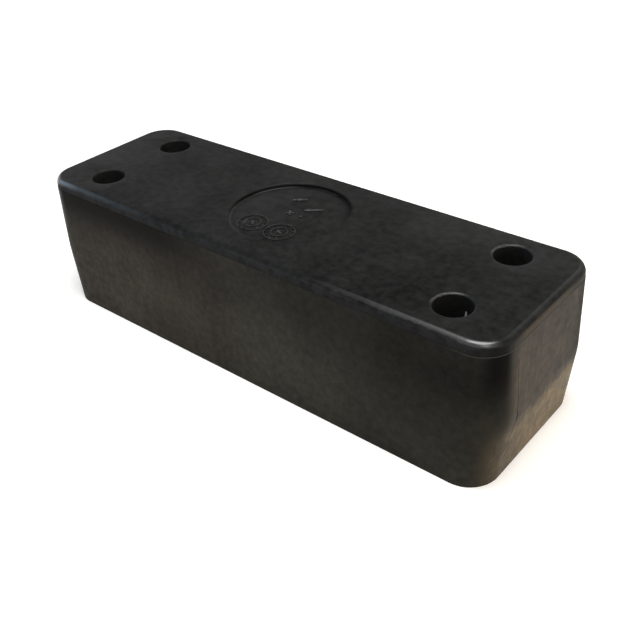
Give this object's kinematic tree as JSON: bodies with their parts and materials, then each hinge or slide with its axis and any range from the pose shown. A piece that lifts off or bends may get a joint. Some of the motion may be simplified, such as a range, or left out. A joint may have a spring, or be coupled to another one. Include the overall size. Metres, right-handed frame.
{
  "type": "trailer buffer",
  "caption": "Solid rubber buffer block for the rear of a trailer, with stepped bolt holes, leaning ends and a shallow round marking recess in its outer face.",
  "frame": {"origin": "centre of the flat mounting face", "axes": "+X along the length, +Y across the block away from the date dials, +Z from the mounting face to the outer face"},
  "size_m": [0.45, 0.14, 0.12],
  "materials": {
    "rubber": "moulded black rubber, satin on the rounded edge"
  },
  "bodies": {
    "root": {"buffer_block": "rubber"}
  },
  "joints": []
}
